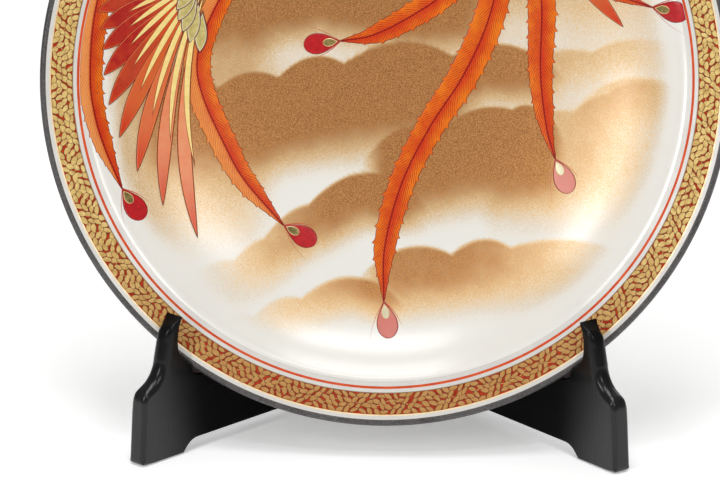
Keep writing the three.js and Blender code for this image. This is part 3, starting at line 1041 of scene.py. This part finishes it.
def cut_away(piece, cutters):
    """Cuts the closed shapes out of the piece, in the row frame."""
    for cutter in cutters:
        modifier = piece.modifiers.new("cut", "BOOLEAN")
        modifier.operation = "DIFFERENCE"
        modifier.solver = "EXACT"
        modifier.object = cutter
    bpy.context.view_layer.update()
    shown = piece.evaluated_get(bpy.context.evaluated_depsgraph_get())
    mesh = bpy.data.meshes.new_from_object(shown)
    piece.modifiers.clear()
    piece.data = mesh
    for cutter in cutters:
        bpy.data.objects.remove(cutter)


def pockets(place):
    """What is cut out of a board: a mortise for each hinge leaf and a pocket for each pad."""
    mortise_reach, mortise_depth, mortise_height = 17.3, 1.5, 24.6
    pad_length, pad_radius, pocket_top = 12, 2.9, 1.4
    beyond = 2  # how far a cutter stands out of the board
    back, inner = REAR_EDGE - beyond, CLOSED_GAP - beyond
    outer = CLOSED_GAP + mortise_depth
    mortise = [(back, inner), (mortise_reach, inner), (mortise_reach, outer), (back, outer)]
    shapes = []
    for middle in HINGE_MIDDLES:
        low = middle - mortise_height / 2
        shapes.append(upright_prism(mortise, low, low + mortise_height))
    across = CLOSED_GAP + BOARD_THICKNESS / 2
    for start in (BOARD_LENGTH - 19, REAR_EDGE + 4.8):
        pad = round_ended(start, pad_length, pad_radius, across)
        shapes.append(upright_prism(pad, -beyond, pocket_top))
    return [temporary(*shape, place) for shape in shapes]


def build_board(side, name, finish):
    """A board with its pockets, which rides on its own half of the stand."""
    body = f"{name}_half"
    place = board_frame(side)
    points, faces = board_mesh()
    moved = [tuple(place @ Vector(point)) for point in (points * MM).tolist()]
    if side < 0:
        faces = [face[::-1] for face in faces]
    title = f"{name}_lacquered_board"
    board = mesh_piece(title, moved, faces, [finish], body)
    cut_away(board, pockets(place))
    sharpen(board, degrees=35)
    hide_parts(f"{name}_board")


def sharpen(piece, degrees):
    """Smooth shading that keeps flat faces even and edges steeper than the angle sharp."""
    mesh = piece.data
    mesh.shade_smooth()
    mesh.set_sharp_from_angle(angle=radians(degrees))
    modifier = piece.modifiers.new("even_shading", "WEIGHTED_NORMAL")
    modifier.keep_sharp = True


def finish_hardware():
    """Finishes for the CAD pieces that stay: leaves, pins, screws and pads."""
    steel = mottled("pin_steel", (176, 176, 178), (140, 140, 144), 1.5, 0.3, 1.0, relief=0.01)
    finishes = {
        "leaf": brass_finish(),
        "pin": steel,
        "screw": steel,
        "foot_pad": mottled("foot_felt", (34, 32, 32), (20, 19, 20), 0.5, 0.95, relief=0.25),
        "notch_pad": mottled("notch_rubber", (46, 14, 13), (34, 10, 10), 2.0, 0.75, relief=0.03),
    }
    for name, node in frame["nodes"].items():
        if node.hide_render:
            continue
        kind = next(kind for kind in finishes if name.endswith(kind))
        node.data.materials.clear()
        node.data.materials.append(finishes[kind])
        bevel = node.modifiers.new("worn_edges", "BEVEL")
        bevel.width = 0.12 * MM
        bevel.segments = 2
        bevel.limit_method = "ANGLE"
        bevel.angle_limit = radians(40)


# ---- stage, light and camera


def build_floor():
    reach = 6.0  # metres
    mesh = bpy.data.meshes.new("floor")
    corners = [(-reach, -reach, 0), (reach, -reach, 0), (reach, reach, 0), (-reach, reach, 0)]
    mesh.from_pydata(corners, [], [(0, 1, 2, 3)])
    mesh.materials.append(floor_finish())
    add_object("floor", mesh)


# Soft boxes: direction from the middle of the plate, distance and size in metres, and watts.
SOFT_BOXES = {
    "left_box": ((-0.494, -0.76, 0.423), 2.2, (0.3, 0.9), 9.5),
    "right_box": ((0.33, -0.80, 0.50), 2.2, (0.4, 0.6), 5),
    "top_box": ((0, -0.545, 0.839), 2.2, (0.9, 0.3), 7),
    "rear_box": ((0.4, 0.8, 0.55), 2.4, (1.6, 1.0), 10),
    "ceiling": ((0, -0.2, 0.98), 2.6, (1.3, 0.9), 20),
}


def light_the_stage():
    """Even white light from all round, with soft boxes that shine in the glaze and the lacquer."""
    scene = bpy.context.scene
    world = bpy.data.worlds.new("white_studio")
    world.use_nodes = True
    background = world.node_tree.nodes["Background"]
    background.inputs["Color"].default_value = (1, 1, 1, 1)
    background.inputs["Strength"].default_value = 0.29
    scene.world = world
    scene.view_settings.view_transform = "Standard"
    for name, (direction, distance, size, power) in SOFT_BOXES.items():
        towards = Vector(direction).normalized()
        light = bpy.data.lights.new(name, "AREA")
        light.shape = "RECTANGLE"
        light.size, light.size_y = size
        light.energy = power
        made = add_object(name, light)
        made.location = PLATE_PLACE.translation + towards * distance
        made.rotation_euler = (-towards).to_track_quat("-Z", "Y").to_euler()


def add_camera():
    """A long lens nearly square to the leaning plate, aimed below and left of its middle."""
    distance = 3.5
    yaw = radians(2.33)
    aim_left, aim_down = 0.01087, 0.07049
    centre = PLATE_PLACE.translation
    back = Matrix.Rotation(yaw, 3, "Z") @ PLATE_OUT
    right = Vector((0, 0, 1)).cross(back).normalized()
    up = back.cross(right)
    aim = centre - right * aim_left - up * aim_down
    camera = add_object("camera", bpy.data.cameras.new("camera"))
    camera.data.lens = 397.5
    camera.data.sensor_width = 36
    camera.data.clip_end = 50
    camera.location = centre + back * distance
    camera.rotation_euler = (aim - camera.location).to_track_quat("-Z", "Y").to_euler()
    bpy.context.scene.camera = camera


build_plate()
build_border()
paint_bird()
lacquer = lacquer_finish()
build_board(-1, "left", lacquer)
build_board(1, "right", lacquer)
finish_hardware()
build_floor()
light_the_stage()
add_camera()
